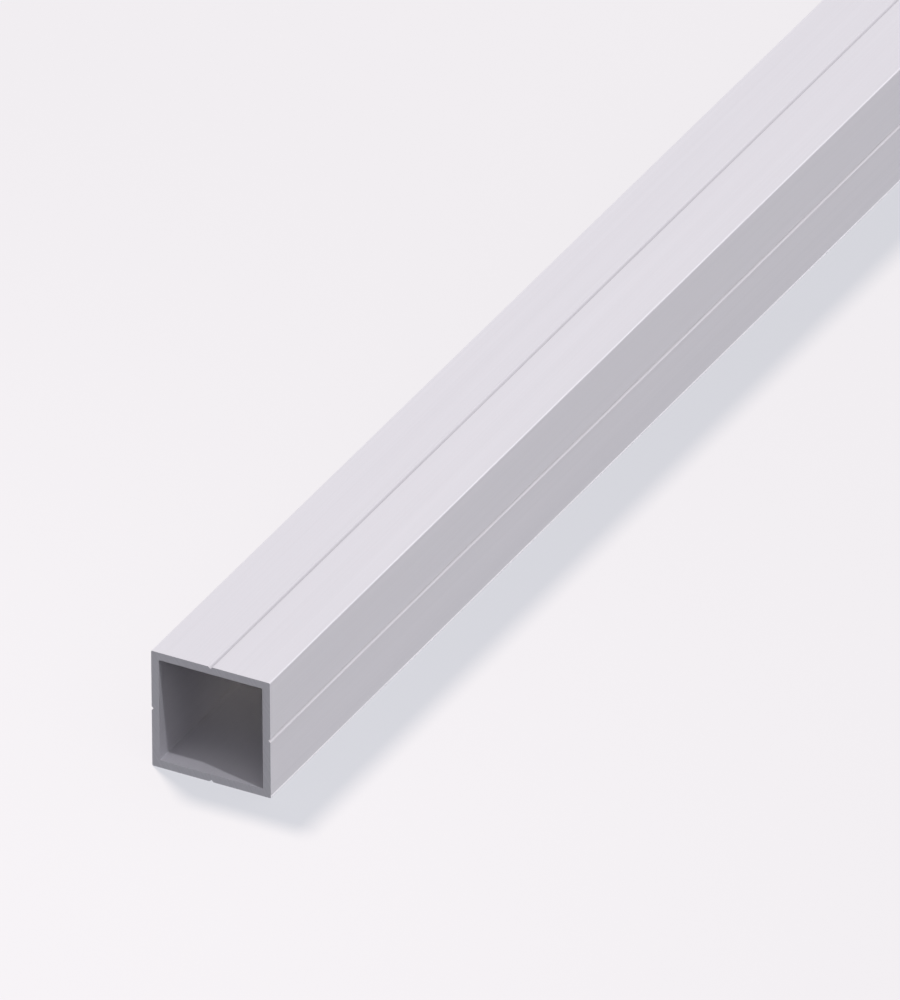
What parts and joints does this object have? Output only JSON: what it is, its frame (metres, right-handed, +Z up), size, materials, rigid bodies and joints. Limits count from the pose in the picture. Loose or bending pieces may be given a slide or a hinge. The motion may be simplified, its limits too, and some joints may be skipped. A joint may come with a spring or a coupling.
{
  "type": "square metal tube",
  "caption": "Straight square hollow aluminium tube for light framing, open at both ends, with a shallow marking groove down the middle of each face.",
  "frame": {"origin": "middle of the underside, half way along the length", "axes": "+X along the tube, +Y square to one side face, +Z up, square to the top face"},
  "size_m": [1, 0.0234, 0.0235],
  "materials": {
    "aluminium": "satin natural anodised outside, fine lines along the length, dull sawn ends, darker mill finish in the bore"
  },
  "bodies": {
    "root": {"square_tube": "aluminium"}
  },
  "joints": []
}
